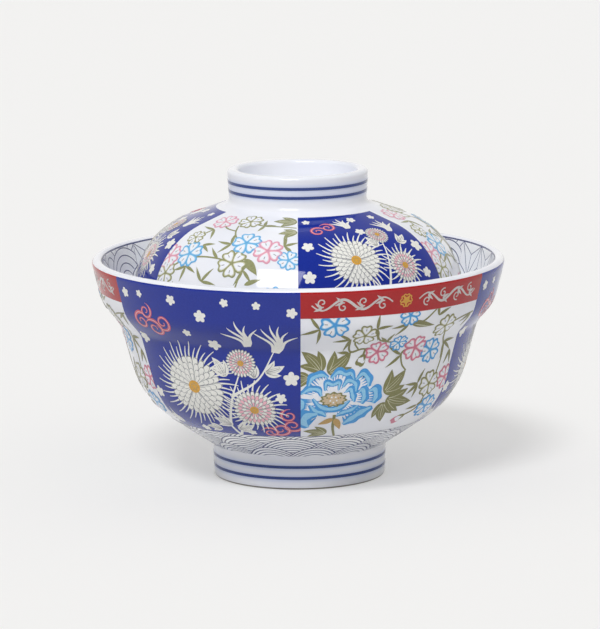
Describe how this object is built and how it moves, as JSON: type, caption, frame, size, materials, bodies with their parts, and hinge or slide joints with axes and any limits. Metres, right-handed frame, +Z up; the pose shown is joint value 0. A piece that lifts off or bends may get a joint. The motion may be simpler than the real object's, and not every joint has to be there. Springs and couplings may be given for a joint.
{
  "type": "lidded donburi bowl",
  "caption": "Deep stepped porcelain bowl on a foot ring, with a domed lid that rests on a ledge inside the rim and lifts off by its grip ring.",
  "frame": {"origin": "centre of the foot ring's standing face, on the table", "axes": "+Z up along the axis that bowl and lid are turned about; -Y towards the viewer, where two decorated panels meet"},
  "size_m": [0.1604, 0.1604, 0.1205],
  "materials": {
    "porcelain": "clear gloss glaze over printed enamel colours"
  },
  "bodies": {
    "bowl": {"bowl": "porcelain"},
    "lid": {"lid": "porcelain"}
  },
  "joints": [
    {"name": "lid_lift", "type": "slide", "parent": "bowl", "child": "lid", "axis": [0, 0, 1], "range_m": [0, 0.08]}
  ]
}
